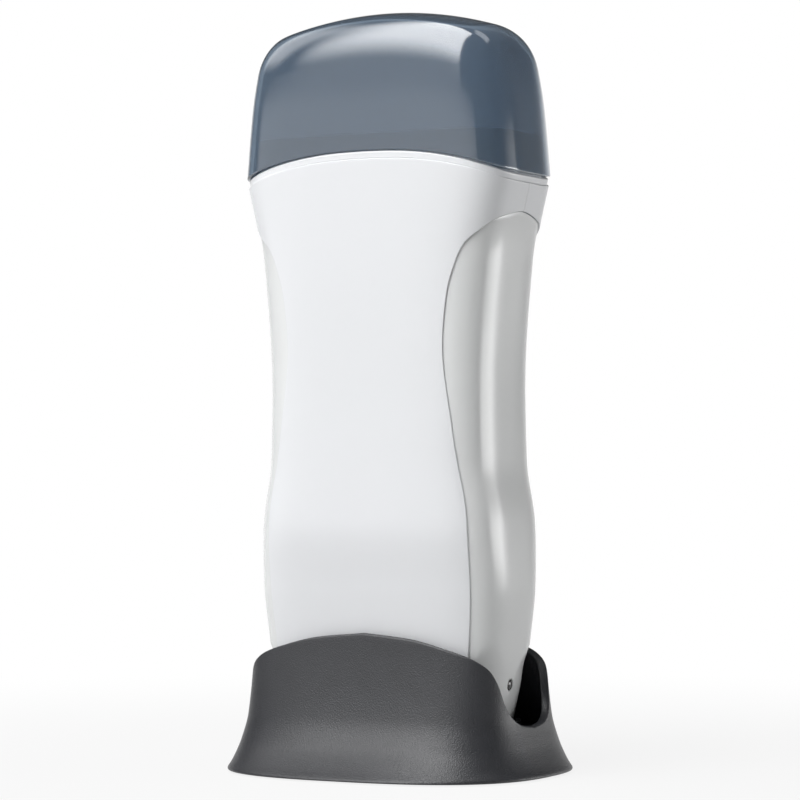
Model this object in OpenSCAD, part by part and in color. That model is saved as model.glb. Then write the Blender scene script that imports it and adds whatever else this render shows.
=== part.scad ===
// Roll-on wax heater standing in its docking base.
// Millimetres, +Z up, front towards -Y, pilot light towards +X.
// The origin is on the table, under the middle of the base.

/* [Heater body] */
// Half width of the body at its underside
foot_half_w = 36.9; // [35:0.1:38]
// Half depth of the body at its underside
foot_half_d = 19.6; // [18.5:0.1:20.2]
// Height of the ankle, just above the base's arch
ankle_z = 40; // [36:0.5:48]
// Half width at the ankle
ankle_half_w = 40.1; // [38.5:0.1:40.8]
// Half depth at the ankle
ankle_half_d = 20.6; // [19.8:0.1:21.2]
// Height where the hips start
hip_low_z = 58; // [52:0.5:64]
// Height where the hips end
hip_high_z = 77; // [70:0.5:84]
// Half width where the hips start
hip_low_half_w = 41.5; // [40:0.1:43]
// Half depth where the hips start
hip_low_half_d = 22.4; // [21.2:0.1:23.5]
// Half width where the hips end
hip_half_w = 40.8; // [39.5:0.1:43]
// Half depth where the hips end
hip_half_d = 24.2; // [23:0.1:25]
// Height where the waist starts
waist_low_z = 96; // [90:0.5:104]
// Half width where the waist starts
waist_low_half_w = 38.1; // [37.5:0.1:40]
// Height of the waist
waist_z = 118; // [108:0.5:128]
// Half width of the waist
waist_half_w = 37.7; // [37:0.1:39.5]
// Half depth of the waist
waist_half_d = 23.8; // [22.5:0.1:25]
// Height of the shoulder
shoulder_z = 158; // [150:0.5:164]
// Half width of the shoulder
shoulder_half_w = 40.5; // [39:0.1:43]
// Half depth of the shoulder
shoulder_half_d = 24; // [23:0.1:25]
// Height of the collar's side ends
collar_z = 184; // [180:0.5:188]
// Half width of the collar
collar_half_w = 46.2; // [45.5:0.1:48]
// Half depth of the collar
collar_half_d = 24; // [23:0.1:25]
// How square the body's section is: 2 is an ellipse, 10 nearly a rectangle
body_squareness = 5; // [4:0.1:7]
// Wall of the body's shells
shell_wall = 2; // [1.6:0.1:2.2]

/* [Heater foot] */
// Height below which the body is trimmed to an oval foot
trim_top_z = 38; // [34:0.5:44]
// Half width of the oval trim at the underside
trim_foot_half_w = 35.3; // [33:0.1:36.5]
// Half width of the oval trim at the pilot light
trim_led_half_w = 38.6; // [37:0.1:39]
// Half width of the oval trim at its top
trim_top_half_w = 41.4; // [40:0.1:44]
// Half depth of the oval trim
trim_half_d = 36; // [30:0.5:44]

/* [Seam and collar] */
// Height of the seam between cap and body, at the middle of the front
seam_z = 190.3; // [189:0.1:192]
// How far the seam has dropped at its reference half width
seam_drop = 5.4; // [3:0.1:7]
// Reference half width of the seam's drop
seam_reach = 40; // [36:0.5:44]
// How sharply the seam drops towards the sides
seam_power = 2.36; // [2:0.02:3]
// Height of the collar's visible band
band_h = 2.2; // [1.6:0.1:3]
// How far the band and the side panels lie below the shells' surface
panel_inset = 0.5; // [0.2:0.05:0.8]
// Height of the neck that the cap fits over
neck_top_z = 196; // [194:0.5:200]
// Wall of the neck
neck_wall = 2; // [1.4:0.1:3]
// Thickness of the deck inside the neck
deck_t = 2; // [1.5:0.1:3]
// Height of the small chamfers on the collar
chamfer = 0.5; // [0.3:0.1:0.8]
// Clearance between the collar's mouth and a cartridge that fills the chamber
mouth_gap = 0.3; // [0.1:0.05:0.6]

/* [Side panels] */
// How far the panel's arched top lies below the seam's middle
panel_drop = 18.5; // [15.5:0.1:22]
// Height of the arch at the panel's top
arch_h = 14; // [10:0.5:18]
// Groove between a panel and the shells
panel_gap = 0.3; // [0.2:0.05:0.5]

/* [Cap] */
// Height of the top of the cap
cap_top_z = 235; // [227:0.1:245]
// Half width of the cap at the seam
cap_half_w = 45.8; // [44.5:0.1:46]
// Half depth of the cap at the seam
cap_half_d = 23.7; // [22.8:0.1:24]
// Height at which the cap's middle width is given
cap_mid_z = 206; // [202:0.5:212]
// Half width of the cap at its middle
cap_mid_half_w = 43.8; // [42.5:0.1:45]
// Half depth of the cap at its middle
cap_mid_half_d = 23.2; // [22:0.1:24]
// Half width of the cap below its rounded edge
cap_top_half_w = 39.6; // [38:0.1:42]
// Half depth of the cap below its rounded edge
cap_top_half_d = 21.8; // [20:0.1:23]
// How far the domed top has dropped at its reference half width
dome_drop = 7.2; // [4:0.1:10]
// How far the domed top has dropped at its reference half depth
crown_drop = 3.7; // [2:0.1:6]
// Reference half depth of the dome's drop
crown_reach = 20; // [18:0.5:22]
// Radius of the cap's rounded edge
cap_edge_r = 5.6; // [3.5:0.1:7]
// Wall of the cap
cap_wall = 2; // [1.6:0.1:2.4]
// Clearance between the cap and what it fits over
cap_gap = 0.35; // [0.3:0.05:0.5]

/* [Base shell] */
// Half width of the base on the table
base_half_w = 53.2; // [50:0.1:58]
// Half depth of the base on the table
base_half_d = 43.6; // [38:0.1:48]
// Half width of the base where its flare ends
flare_half_w = 45.4; // [44.5:0.1:48]
// Half depth of the base where its flare ends
flare_half_d = 29; // [28:0.1:33]
// Half width of the base at its rim
rim_half_w = 43.4; // [43:0.1:45]
// Half depth of the base at its rim
rim_half_d = 24.4; // [24:0.1:27]
// Height where the flare ends
flare_z = 18; // [15:0.5:22]
// How far the flare still stands out at half its height, at the sides
flare_bow_w = 2.4; // [1.8:0.1:3]
// How far the flare still stands out at half its height, at the front
flare_bow_d = 4.1; // [3:0.1:5]
// Height of the rim at the middle of the front
rim_z = 43.8; // [40:0.1:48]
// Height of the rim at the corners
rim_corner_z = 35.8; // [33:0.1:38]
// Height of the rim at the bottom of the side notches
notch_z = 15.3; // [15:0.1:20]
// Wall of the base shell
base_wall = 2.2; // [1.8:0.1:2.6]
// Rounding along the base's rim
rim_round = 0.6; // [0.3:0.1:0.9]
// Gap between the base shell and the table
base_lift = 0.5; // [0.3:0.1:1]

/* [Dock] */
// Height of the dock tray's floor
tray_z = 13.8; // [13:0.1:14.5]
// Thickness of the dock tray
tray_t = 2.2; // [1.8:0.1:3]
// Height of the cradle ring above the tray's floor
cradle_h = 2; // [1.5:0.1:4]
// Wall of the cradle ring
cradle_wall = 1.6; // [1.2:0.1:2.5]
// Gap between the heater and the dock
seat_gap = 0.3; // [0.2:0.05:0.5]
// Distance between the two dock pins
pin_pitch = 12; // [10:0.5:16]
// Radius of a dock pin
pin_r = 1.2; // [1:0.05:1.4]
// Length of the dock pins above the tray's floor
pin_rise = 8; // [6:0.5:9]
// Radial clearance between pin and socket
pin_clear = 0.15; // [0.1:0.01:0.2]
// Width of the foot of a dock pin
pin_flange = 0.9; // [0.5:0.1:1.2]
// Height of the foot of a dock pin
pin_flange_t = 1; // [0.8:0.1:1.5]
// Wall of a contact socket
socket_wall = 1; // [0.8:0.1:1.2]
// Width of the dock connector
connector_w = 23; // [20:0.5:26]
// Depth of the dock connector
connector_d = 11; // [9:0.5:14]
// Height of the dock connector
connector_h = 7; // [6:0.5:8]
// Width of the dock connector's flange
flange_w = 2; // [1:0.5:3]
// Thickness of the dock connector's flange
flange_t = 1.5; // [1:0.1:2]
// Thickness of the bottom plate
plate_t = 2.4; // [2:0.1:3]
// Half distance between the base screws along X
base_screw_x = 20; // [16:0.5:24]
// Half distance between the base screws along Y
base_screw_y = 21; // [19:0.5:22]
// Radius of the pillars that the base screws bite into
pillar_r = 3.4; // [3:0.1:4]
// Half distance between the feet along X
foot_pad_x = 36; // [34:0.5:37]
// Half distance between the feet along Y
foot_pad_y = 19; // [17:0.5:20]
// Radius of a rubber foot
foot_pad_r = 6; // [4:0.5:7]
// How deep a rubber foot sits in the bottom plate
foot_seat = 0.8; // [0.5:0.1:1]
// Height of the step round a rubber foot
foot_step = 0.5; // [0.3:0.1:0.6]

/* [Cord gland] */
// Radius of the gland in the rear of the base
gland_r = 3.8; // [3:0.1:3.9]
// Radius of the gland's bore
gland_bore_r = 2.2; // [1.5:0.1:2.6]
// Length of the gland
gland_len = 12; // [8:0.5:16]
// How far the gland stands out of the base
gland_out = 1.5; // [0.5:0.1:2.5]

/* [Cartridge chamber] */
// Width of the chamber
chamber_w = 53; // [50:0.5:55]
// Depth of the chamber
chamber_d = 29; // [27:0.5:29.5]
// Corner radius of the chamber
chamber_r = 6.5; // [5:0.5:8]
// Wall of the heating sleeve
sleeve_wall = 1; // [0.8:0.1:1.2]
// Height of the chamber's floor
chamber_z = 46; // [44:0.5:52]
// Thickness of the chamber's floor
floor_t = 4; // [3:0.5:5]
// Height of the rim that centres the sleeve on the chamber's floor
lip_h = 2; // [1:0.5:3]
// Margin of the chamber's floor round the sleeve
floor_edge = 0.8; // [0.5:0.1:0.8]
// Thickness of a heater block
ptc_t = 3; // [2:0.1:4]
// Width of a heater block
ptc_w = 15; // [12:0.5:15.5]
// Height of a heater block
ptc_h = 60; // [40:1:70]
// Height of the heater blocks' lower edge
ptc_z = 62; // [58:1:70]
// Thickness of the clamping band
strap_t = 0.5; // [0.3:0.1:0.6]
// Height of the clamping band
strap_h = 8; // [5:0.5:12]
// Corner radius inside the clamping band
strap_r = 3; // [2:0.5:4]
// Thickness of an insulation sheet
sheet_t = 0.8; // [0.5:0.1:0.9]
// Gap between an insulation sheet and the clamping band
sheet_gap = 0.6; // [0.4:0.1:0.8]
// Height of the heated zone above the chamber's floor
sheet_rise = 6; // [4:0.5:10]

/* [Electronics] */
// Height of the pilot light
led_z = 27.6; // [26:0.1:29]
// Radius of the pilot light
led_r = 1.5; // [1.2:0.1:2]
// How deep the pilot light's lens is recessed
led_recess = 0.7; // [0.3:0.1:1]
// Length of the pilot light's lens
lens_len = 2; // [1.5:0.1:2.5]
// Radius of the rim round the pilot light
led_rim = 0.3; // [0.2:0.05:0.4]
// Gap between the pilot light and the board
led_drop = 0.6; // [0.4:0.1:1]
// Half distance between the pilot light's two leads
lead_y = 0.8; // [0.6:0.1:1]
// Radius of a lead
lead_r = 0.25; // [0.2:0.05:0.3]
// Thickness of the circuit board
board_t = 1.6; // [1:0.1:2]
// Half width of the circuit board
board_half_w = 32.5; // [30:0.5:33]
// Half depth of the circuit board
board_half_d = 12; // [10:0.5:12.5]
// Corner radius of the circuit board
board_r = 3; // [1:0.5:4]
// Distance of the board's screws from its side edges
post_side = 4.5; // [4:0.5:6]
// Distance of the board's screws from its front and rear edges
post_edge = 3.5; // [3:0.5:4]
// Radius of the posts that the board hangs from
post_r = 2.4; // [2.2:0.1:2.6]
// Half distance between the legs that carry the chamber
leg_x = 20; // [17:0.5:22]
// Radius of a leg
leg_r = 3.2; // [2.8:0.1:3.5]
// Radius of the thermostat
thermostat_r = 6; // [5:0.1:7]
// Thickness of the thermostat's body
thermostat_t = 2.5; // [2:0.1:3]
// Thickness of the thermostat's cap
thermostat_cap = 2; // [1.5:0.1:2.5]
// Length of a thermostat tab
tab_len = 8; // [6:0.5:9]
// Radius of the thermal fuse
fuse_r = 2; // [1.5:0.1:2.5]
// Length of the thermal fuse
fuse_len = 10; // [8:0.5:12]
// Length of each lead of the thermal fuse
fuse_lead = 5; // [3:0.5:6]
// Height of the thermostat and the thermal fuse
sensor_z = 142; // [135:1:155]
// Radius of an inner wire
wire_r = 0.7; // [0.5:0.1:0.8]
// Distance of the wires behind the middle
wire_y = 4; // [2:0.5:6]
// Overlap of a wire with its heater block
wire_lap = 12; // [8:1:20]

/* [Screws] */
// Radius of a screw's shank
screw_r = 1.2; // [1:0.1:1.5]
// Radius of a screw's head
screw_head_r = 2.5; // [2:0.1:3]
// Height of a screw's head
screw_head_h = 1.2; // [1:0.1:1.4]
// Length of a screw's shank
screw_len = 7; // [5:0.5:8]
// Width of a screw head's slots
slot_w = 0.6; // [0.5:0.1:0.7]
// Length of a screw head's slots
slot_len = 3; // [2:0.1:3.2]
// Depth of a screw head's slots
slot_depth = 0.6; // [0.4:0.1:0.7]
// Thickness of the cover under the heater
cover_t = 3; // [2.6:0.1:3.5]
// Depth of the recesses for its screw heads
screw_sink = 1.6; // [1.4:0.1:1.8]

/* [Hidden] */

// Smooth surfaces: columns across half a front, columns across half a side
front_cols = 10;
side_cols = 6;
round_fn = 32;
// Clearances: round pieces that are set into others, round a screw's shank and head,
// and the line that shows between two shells; cuts run past what they cut by pass
fit_gap = 0.2;
screw_clear = 0.05;
head_clear = 0.3;
hairline = 0.15;
pass = 1;

// Levels worked out from the sizes above
foot_z = tray_z + seat_gap;
plate_z = base_lift + 0.2;
tray_under_z = tray_z - tray_t;
deck_under_z = seam_z - fit_gap;
band_z = seam_z - band_h;
board_z = led_z + led_r + led_rim + led_drop;
socket_r = pin_r + pin_clear + socket_wall;
post_x = board_half_w - post_side;
post_y = board_half_d - post_edge;

// The body's sections: height, half width, half depth
body_line = [
    [foot_z, foot_half_w, foot_half_d],
    [ankle_z, ankle_half_w, ankle_half_d],
    [hip_low_z, hip_low_half_w, hip_low_half_d],
    [hip_high_z, hip_half_w, hip_half_d],
    [waist_low_z, waist_low_half_w, (hip_half_d + waist_half_d) / 2],
    [waist_z, waist_half_w, waist_half_d],
    [shoulder_z, shoulder_half_w, shoulder_half_d],
    [collar_z, collar_half_w, collar_half_d]
];
// The oval trim of the foot: height, half width
trim_line = [
    [foot_z, trim_foot_half_w],
    [led_z, trim_led_half_w],
    [(led_z + trim_top_z) / 2, (trim_led_half_w + trim_top_half_w) / 2 - 0.5],
    [trim_top_z, trim_top_half_w]
];
// The cap's sections: height, half width, half depth
cap_line = [
    [collar_z, cap_half_w, cap_half_d],
    [cap_mid_z, cap_mid_half_w, cap_mid_half_d],
    [cap_top_z - cap_edge_r, cap_top_half_w, cap_top_half_d]
];
// The base's sections: height, half width, half depth, squareness
base_line = [
    [0, base_half_w, base_half_d, 2.64],
    [flare_z * 0.22, (base_half_w * 2 + flare_half_w) / 3, (base_half_d * 2 + flare_half_d) / 3, 2.9],
    [flare_z * 0.55, flare_half_w + flare_bow_w, flare_half_d + flare_bow_d, 3.4],
    [flare_z, flare_half_w, flare_half_d, 4],
    [rim_corner_z, rim_half_w + 0.3, rim_half_d + 0.9, 4.8],
    [rim_z, rim_half_w, rim_half_d, 5]
];
// Panel groove up to the arch: height, and place (0 front middle, 1 corner, 2 side middle)
panel_top_z = seam_z - panel_drop;
arch_z = panel_top_z - arch_h;
arch_place = 0.84;
panel_line = [
    [foot_z, 0.91],
    [hip_low_z - 6, 0.915],
    [hip_high_z + 8, 0.935],
    [waist_low_z + 8, 0.846],
    [waist_z + 15, 0.728],
    [arch_z - 12, 0.747],
    [arch_z, arch_place]
];
// Panel groove over the arch: place on the section, and height
arch_line = [
    [arch_place, arch_z],
    [0.93, arch_z + arch_h * 0.31],
    [1.06, arch_z + arch_h * 0.49],
    [1.19, arch_z + arch_h * 0.65],
    [1.385, arch_z + arch_h * 0.81],
    [1.715, arch_z + arch_h * 0.94],
    [1.9, arch_z + arch_h * 0.99],
    [2, panel_top_z]
];
// Base rim: place on the section, and height
rim_line = [
    [0, rim_z],
    [0.37, rim_z - 1.5],
    [0.69, rim_z - 4.6],
    [1, rim_corner_z],
    [1.17, rim_corner_z - 2.5],
    [1.31, (rim_corner_z * 2 + notch_z) / 3],
    [1.42, (rim_corner_z + notch_z * 2) / 3 + 1],
    [1.56, notch_z + 3.5],
    [1.75, notch_z + 1],
    [2, notch_z]
];

// Value in column k of a station table at place z, along a smooth line that never overshoots
function rise(st, i, k) = (st[i + 1][k] - st[i][k]) / (st[i + 1][0] - st[i][0]);
function grade(st, i, k) =
    i <= 0 ? rise(st, 0, k)
    : i >= len(st) - 1 ? rise(st, len(st) - 2, k)
    : let (a = rise(st, i - 1, k), b = rise(st, i, k)) a * b <= 0 ? 0 : 2 * a * b / (a + b);
function span(st, z, i = 0) = i >= len(st) - 2 || z < st[i + 1][0] ? i : span(st, z, i + 1);
function along(st, z, k = 1) =
    let (
        zc = min(max(z, st[0][0]), st[len(st) - 1][0]),
        i = span(st, zc),
        h = st[i + 1][0] - st[i][0],
        t = (zc - st[i][0]) / h
    )
    st[i][k] * (2 * pow(t, 3) - 3 * pow(t, 2) + 1)
    + grade(st, i, k) * h * (pow(t, 3) - 2 * pow(t, 2) + t)
    + st[i + 1][k] * (3 * pow(t, 2) - 2 * pow(t, 3))
    + grade(st, i + 1, k) * h * (pow(t, 3) - pow(t, 2));

// Direction at place p on a section, 0 front middle, 1 corner, 2 side middle, right side positive
function toward(p) = abs(p) <= 1 ? [p, -1] : [sign(p), abs(p) - 2];
// Directions once round a section, starting at the front middle and turning to the right
function marks(count) = [for (i = [0:count - 1]) i / count];
function crowd(s) = s + 0.12 * sin(180 * s);
ring_dirs = concat(
    [for (s = marks(front_cols)) toward(crowd(s))],
    [for (s = marks(side_cols)) toward(2 - crowd(1 - s))],
    [for (s = marks(side_cols)) let (d = toward(2 - crowd(s))) [d.x, -d.y]],
    [for (s = marks(front_cols)) let (d = toward(crowd(1 - s))) [d.x, -d.y]],
    [for (s = marks(front_cols)) let (d = toward(crowd(s))) [-d.x, -d.y]],
    [for (s = marks(side_cols)) let (d = toward(2 - crowd(1 - s))) [-d.x, -d.y]],
    [for (s = marks(side_cols)) let (d = toward(2 - crowd(s))) [-d.x, d.y]],
    [for (s = marks(front_cols)) let (d = toward(crowd(1 - s))) [-d.x, d.y]]
);

// How far a direction reaches on a rounded section with half sizes a and b
function reach(d, n, a = 1, b = 1) = pow(pow(abs(d.x) / a, n) + pow(abs(d.y) / b, n), -1 / n);
function section(d, a, b, n) = let (r = reach(d, n)) [a * d.x * r, b * d.y * r];
// Point on a rectangle with half sizes a and b and round corners of radius r
function rounded(d, a, b, r) =
    let (
        q = [a * d.x, b * d.y],
        c = [sign(q.x) * min(abs(q.x), a - r), sign(q.y) * min(abs(q.y), b - r)]
    )
    c + (q - c) * r / norm(q - c);

// Points on the body, the cap and the base, for a direction, a height and an inset
function body_pt(d, z, inset = 0) =
    let (
        a = along(body_line, z, 1) - inset,
        b = along(body_line, z, 2) - inset,
        free = reach(d, body_squareness),
        cut = z >= trim_top_z + 4 ? free
            : reach([a * d.x, b * d.y], 2,
                along(trim_line, z) + max(0, z - trim_top_z) - inset, trim_half_d - inset),
        r = min(free, cut)
    )
    [a * d.x * r, b * d.y * r, z];
function cap_pt(d, z, inset = 0) =
    let (p = section(d, along(cap_line, z, 1) - inset, along(cap_line, z, 2) - inset, 5.6))
    [p.x, p.y, z];
function base_pt(d, z, inset = 0) =
    let (p = section(d, along(base_line, z, 1) - inset, along(base_line, z, 2) - inset,
        along(base_line, z, 3)))
    [p.x, p.y, z];

// Heights that follow the seam's arch, the cap's dome and the base's rim
function seam_at(x) = seam_z - seam_drop * pow(abs(x) / seam_reach, seam_power);
function dome_at(x, y) =
    cap_top_z - dome_drop * pow(x / seam_reach, 2) - crown_drop * pow(y / crown_reach, 2);
function place(d) = abs(d.y) >= abs(d.x) ? abs(d.x / d.y) : 2 - abs(d.y / d.x);
function rim_at(d) = along(rim_line, place(d));
function seam_x(d) = body_pt(d, collar_z).x;

// Closed solids from rings of points that turn to the right and go up on the outside
function quads(rows, n, wrap) = [
    for (j = [0:rows - (wrap ? 1 : 2)])
        for (i = [0:n - 1])
            let (
                a = j * n + i,
                b = j * n + (i + 1) % n,
                up = ((j + 1) % rows) * n,
                c = up + (i + 1) % n,
                e = up + i
            )
            each [[a, e, c], [a, c, b]]
];
function flat(rings) = [for (ring = rings) each ring];
function middle(ring) = [for (k = [0:2]) [for (p = ring) 1] * [for (p = ring) p[k]] / len(ring)];
// A ring-shaped solid whose last ring meets its first
module hoop(rings) {
    polyhedron(points = flat(rings), faces = quads(len(rings), len(rings[0]), true));
}
// A solid with a closed first and last ring
module stack(rings) {
    n = len(rings[0]);
    top = (len(rings) - 1) * n;
    low = len(rings) * n;
    polyhedron(
        points = concat(flat(rings), [middle(rings[0]), middle(rings[len(rings) - 1])]),
        faces = concat(
            quads(len(rings), n, false),
            [for (i = [0:n - 1]) [low, i, (i + 1) % n]],
            [for (i = [0:n - 1]) [low + 1, top + (i + 1) % n, top + i]]
        )
    );
}
// Faces that close a wall's edge, over the first count columns of a row of n points
function rib(first, count, n, turned) = [
    for (i = [0:count - 2])
        let (a = first + i, b = a + 1, c = first + n - 2 - i, e = c + 1)
        each turned ? [[a, c, b], [a, e, c]] : [[a, b, c], [a, c, e]]
];
// A curved wall between an outer and an inner grid of points
module wall(outer, inner) {
    m = len(outer[0]);
    n = 2 * m;
    polyhedron(
        points = flat([
            for (j = [0:len(outer) - 1])
                concat(outer[j], [for (i = [m - 1:-1:0]) inner[j][i]])
        ]),
        faces = concat(
            quads(len(outer), n, false),
            rib(0, m, n, false),
            rib((len(outer) - 1) * n, m, n, true)
        )
    );
}

// Side face of the pilot light's lens
led_face_x = body_pt([1, 0], led_z).x - led_recess;

// Flat outlines
module bar(w, d, r) {
    square([w - 2 * r, d], center = true);
    square([w, d - 2 * r], center = true);
    for (x = [-1, 1], y = [-1, 1])
        translate([x * (w / 2 - r), y * (d / 2 - r)]) circle(r, $fn = round_fn);
}
module body_outline(z, inset) {
    polygon([for (d = ring_dirs) let (p = body_pt(d, z, inset)) [p.x, p.y]]);
}
module base_outline(z, inset) {
    polygon([for (d = ring_dirs) let (p = base_pt(d, z, inset)) [p.x, p.y]]);
}
module four(x, y) {
    for (sx = [-1, 1], sy = [-1, 1])
        translate([sx * x, sy * y]) children();
}
module two(x) {
    for (sx = [-1, 1])
        translate([sx * x, 0]) children();
}
module rod(r, h) {
    cylinder(r = r, h = h, $fn = round_fn);
}
// A screw that points up, with the underside of its head's rim at the origin
module screw(len) {
    rod(screw_r, len);
    difference() {
        translate([0, 0, -screw_head_h]) rod(screw_head_r, screw_head_h);
        for (a = [0, 90])
            rotate(a) translate([-slot_len / 2, -slot_w / 2, -screw_head_h - pass])
                cube([slot_len, slot_w, pass + slot_depth]);
    }
}
module screw_hole(len) {
    translate([0, 0, -pass]) rod(screw_r + screw_clear, len + 1.5 * pass);
}
// A recess for a screw's head up to height sink, and its passage up to height top
module head_hole(sink, top) {
    rod(screw_head_r + head_clear, sink);
    rod(screw_r + head_clear, top);
}

// Shells: below the arch a field between the two grooves, above it one round to both sides
low_cols = 9;
arch_cols = 11;
high_rows = 6;
low_rows = concat(
    [for (i = [0:5]) foot_z + (trim_top_z - foot_z) * i / 5],
    [for (i = [1:9]) trim_top_z + (arch_z - trim_top_z) * i / 9]
);
high_places = concat(
    [for (i = [0:low_cols]) arch_place * crowd(i / low_cols)],
    [for (i = [arch_cols - 1:-1:0]) 2 - (2 - arch_place) * crowd(i / arch_cols)]
);
function low_row(z, inset) = [
    for (i = [-low_cols:low_cols])
        body_pt(toward(sign(i) * along(panel_line, z) * crowd(abs(i) / low_cols)), z, inset)
];
function high_row(v, inset) = [
    for (i = [-low_cols - arch_cols:low_cols + arch_cols])
        let (
            p = high_places[abs(i)],
            d = toward(sign(i) * p),
            low = p > arch_place ? along(arch_line, p) : arch_z,
            high = seam_at(seam_x(d)) - band_h - hairline
        )
        body_pt(d, low + v * (high - low), inset)
];
module half_shell() {
    m = 2 * low_cols + 1;
    n = 2 * (m + 2 * arch_cols);
    rows = len(low_rows) - 1;
    base = 2 * m * rows;
    top = base + high_rows * n;
    function closed(row, inner) = concat(row, [for (i = [len(row) - 1:-1:0]) inner[i]]);
    // Points of the field below, its last row taken from the one above
    function at(j, i) =
        j < rows ? j * 2 * m + i
        : i < m ? base + arch_cols + i
        : base + n - 1 - arch_cols - (2 * m - 1 - i);
    polyhedron(
        points = concat(
            [
                for (j = [0:rows - 1])
                    each closed(low_row(low_rows[j], 0), low_row(low_rows[j], shell_wall))
            ],
            [
                for (j = [0:high_rows])
                    each closed(high_row(j / high_rows, 0), high_row(j / high_rows, shell_wall))
            ]
        ),
        faces = concat(
            [
                for (j = [0:rows - 1])
                    for (i = [0:2 * m - 1])
                        let (k = (i + 1) % (2 * m))
                        each [[at(j, i), at(j + 1, i), at(j + 1, k)], [at(j, i), at(j + 1, k), at(j, k)]]
            ],
            [for (face = quads(high_rows + 1, n, false)) [for (k = face) base + k]],
            rib(0, m, 2 * m, false),
            rib(base, arch_cols + 1, n, false),
            [
                for (i = [n / 2 - 1 - arch_cols:n / 2 - 2])
                    each [
                        [base + i, base + i + 1, base + n - 2 - i],
                        [base + i, base + n - 2 - i, base + n - 1 - i]
                    ]
            ],
            rib(top, n / 2, n, true)
        )
    );
}

// Panel: from groove to groove round the side, its rows bending into the arch
panel_cols = 10;
arch_rows = 5;
fan_h = 16;
fan_z = arch_z - fan_h;
panel_rows = [for (z = low_rows) if (z < fan_z - 3) z];
function panel_edge(z) = along(panel_line, z) + panel_gap / along(body_line, z, 2);
function panel_place(z, i) = 2 - (2 - panel_edge(z)) * crowd(abs(i) / panel_cols);
function panel_high(i) =
    let (shift = panel_edge(arch_z) - arch_place, p = panel_place(arch_z, i) - shift)
    along(arch_line, p) - panel_gap;
function panel_pt(i, place_z, z, inset) =
    let (d = toward(panel_place(place_z, i)))
    body_pt([d.x, i < 0 ? d.y : -d.y], z, inset);
function panel_grid(inset) = concat(
    [for (z = panel_rows) [for (i = [-panel_cols:panel_cols]) panel_pt(i, z, z, inset)]],
    [
        for (j = [0:arch_rows])
            let (v = j / arch_rows)
            [
                for (i = [-panel_cols:panel_cols])
                    panel_pt(
                        i,
                        fan_z + v * (arch_z - fan_z),
                        fan_z + v * (panel_high(i) - fan_z),
                        inset
                    )
            ]
    ]
);
module side_panel() {
    wall(panel_grid(panel_inset), panel_grid(shell_wall));
}

// Base
module base_shell() {
    levels = 12;
    function outer_z(d, i) = base_lift + (rim_at(d) - base_lift) * pow(i / levels, 1.3);
    color("#4a4b50")
    difference() {
        hoop(concat(
            [for (i = [0:levels - 1]) [for (d = ring_dirs) base_pt(d, outer_z(d, i))]],
            [[for (d = ring_dirs) base_pt(d, rim_at(d) - rim_round)]],
            [[for (d = ring_dirs) base_pt(d, rim_at(d), rim_round)]],
            [[for (d = ring_dirs) base_pt(d, rim_at(d), base_wall - rim_round / 2)]],
            [for (i = [levels - 1:-1:0]) [for (d = ring_dirs) base_pt(d, outer_z(d, i), base_wall)]]
        ));
        gland_place() rod(gland_r + fit_gap / 2, gland_len + base_half_d);
    }
}

module base_bottom_plate() {
    color("#3a3b3f")
    difference() {
        translate([0, 0, plate_z])
            linear_extrude(plate_t) base_outline(plate_z + plate_t, base_wall + fit_gap);
        four(foot_pad_x, foot_pad_y) rod(foot_pad_r + fit_gap / 2, plate_z + foot_seat);
        four(base_screw_x, base_screw_y) head_hole(plate_z + screw_head_h, plate_z + plate_t + pass);
    }
}

module base_feet() {
    color("#2b2b2d")
    four(foot_pad_x, foot_pad_y) {
        rod(foot_pad_r - foot_step, plate_z);
        translate([0, 0, foot_step]) rod(foot_pad_r, plate_z + foot_seat - foot_step);
    }
}

module base_screws() {
    color("#b9bcc2")
    four(base_screw_x, base_screw_y)
        translate([0, 0, plate_z + screw_head_h]) screw(screw_len);
}

module dock_tray() {
    cradle_top = tray_z + cradle_h;
    color("#3f4045")
    difference() {
        union() {
            translate([0, 0, tray_under_z])
                linear_extrude(tray_t) base_outline(tray_z, base_wall + fit_gap);
            translate([0, 0, tray_under_z])
                linear_extrude(tray_t + cradle_h) difference() {
                    body_outline(cradle_top, -seat_gap - cradle_wall);
                    body_outline(cradle_top, -seat_gap);
                }
            four(base_screw_x, base_screw_y)
                translate([0, 0, plate_z + plate_t]) rod(pillar_r, tray_z - plate_z - plate_t);
        }
        translate([0, 0, tray_under_z - pass]) linear_extrude(tray_t + 2 * pass)
            square([connector_w + fit_gap, connector_d + fit_gap], center = true);
        four(base_screw_x, base_screw_y)
            translate([0, 0, plate_z + screw_head_h]) screw_hole(screw_len);
    }
}

module dock_connector() {
    color("#232326")
    difference() {
        union() {
            translate([0, 0, tray_z - connector_h]) linear_extrude(connector_h)
                square([connector_w, connector_d], center = true);
            translate([0, 0, tray_under_z - flange_t]) linear_extrude(flange_t)
                square([connector_w + 2 * flange_w, connector_d + 2 * flange_w], center = true);
        }
        two(pin_pitch / 2) rod(pin_r + screw_clear, tray_z + pass);
    }
}

module dock_pins() {
    color("#c9a24b")
    two(pin_pitch / 2) {
        translate([0, 0, tray_z - connector_h - pin_flange_t]) rod(pin_r + pin_flange, pin_flange_t);
        translate([0, 0, tray_z - connector_h - pin_flange_t / 2])
            rod(pin_r, connector_h + pin_flange_t / 2 + pin_rise - pin_r);
        translate([0, 0, tray_z + pin_rise - pin_r]) sphere(pin_r, $fn = round_fn);
    }
}

// The gland points to the rear, halfway between the bottom plate and the tray
gland_z = (plate_z + plate_t + tray_under_z) / 2;
module gland_place() {
    translate([0, base_pt([0, 1], gland_z).y + gland_out - gland_len, gland_z])
        rotate([-90, 0, 0]) children();
}

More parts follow.
